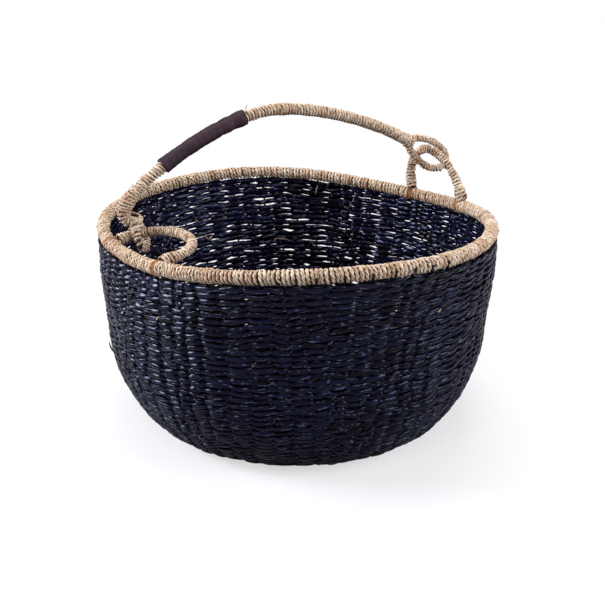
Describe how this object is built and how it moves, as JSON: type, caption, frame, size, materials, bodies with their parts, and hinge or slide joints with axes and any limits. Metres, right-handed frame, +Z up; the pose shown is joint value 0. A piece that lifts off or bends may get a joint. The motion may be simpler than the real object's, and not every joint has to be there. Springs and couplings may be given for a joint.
{
  "type": "storage basket",
  "caption": "Round woven seagrass storage basket with a cord-bound rim and a bail handle with a leather grip, linked by its end loops to two rim eyes.",
  "frame": {"origin": "middle of the whole object's bounding box in plan, on the surface the basket stands on", "axes": "+Z up, the shortest extent; Y across the handle, the longest extent; X runs from the folded eye on the rim (-X) to the standing eye (+X)"},
  "size_m": [0.396, 0.4282, 0.3044],
  "materials": {
    "dark_weave": "dyed seagrass, slightly glossy",
    "straw_cord": "matte twisted straw cord",
    "dark_straw_cord": "matte twisted straw cord, browner",
    "cane": "bare cane, hidden under the binding",
    "leather": "matte dark brown"
  },
  "bodies": {
    "basket": {"woven_body": "dark_weave", "rim_hoop": "cane", "lashing_far_left": "dark_straw_cord", "lashing_near_left": "dark_straw_cord", "lashing_near_right": "dark_straw_cord", "lashing_far_right": "dark_straw_cord", "rim_binding_back": "straw_cord", "rim_binding_near": "straw_cord", "rim_binding_front": "straw_cord", "rim_binding_far": "straw_cord"},
    "near_eye": {"near_eye_core": "cane", "near_eye_binding": "straw_cord"},
    "far_eye": {"far_eye_core": "cane", "far_eye_binding": "straw_cord"},
    "handle": {"near_loop_core": "cane", "near_loop_binding": "straw_cord", "far_loop_core": "cane", "far_loop_binding": "straw_cord", "handle_core": "cane", "handle_binding": "straw_cord", "grip_sleeve": "leather", "near_fork_lashing": "straw_cord", "far_fork_lashing": "straw_cord"}
  },
  "joints": [
    {"name": "near_eye_tilt", "type": "hinge", "parent": "basket", "child": "near_eye", "pos_m": [-0.16897, 0.01631, 0.19421], "axis": [-0.1058, -0.9929, 0.0537], "range_deg": [0, 24]},
    {"name": "far_eye_tilt", "type": "hinge", "parent": "basket", "child": "far_eye", "pos_m": [0.17127, -0.00155, 0.20436], "axis": [0.0427, 0.9987, -0.0275], "range_deg": [0, 2]},
    {"name": "handle_swing", "type": "hinge", "parent": "far_eye", "child": "handle", "pos_m": [-0.14833, 0.06263, 0.19409], "axis": [0.9728, -0.1534, 0.1738], "range_deg": [-42, 29]}
  ],
  "couplings": [
    {"joint": "far_eye_tilt", "follows": "near_eye_tilt", "ratio": 0.07}
  ]
}
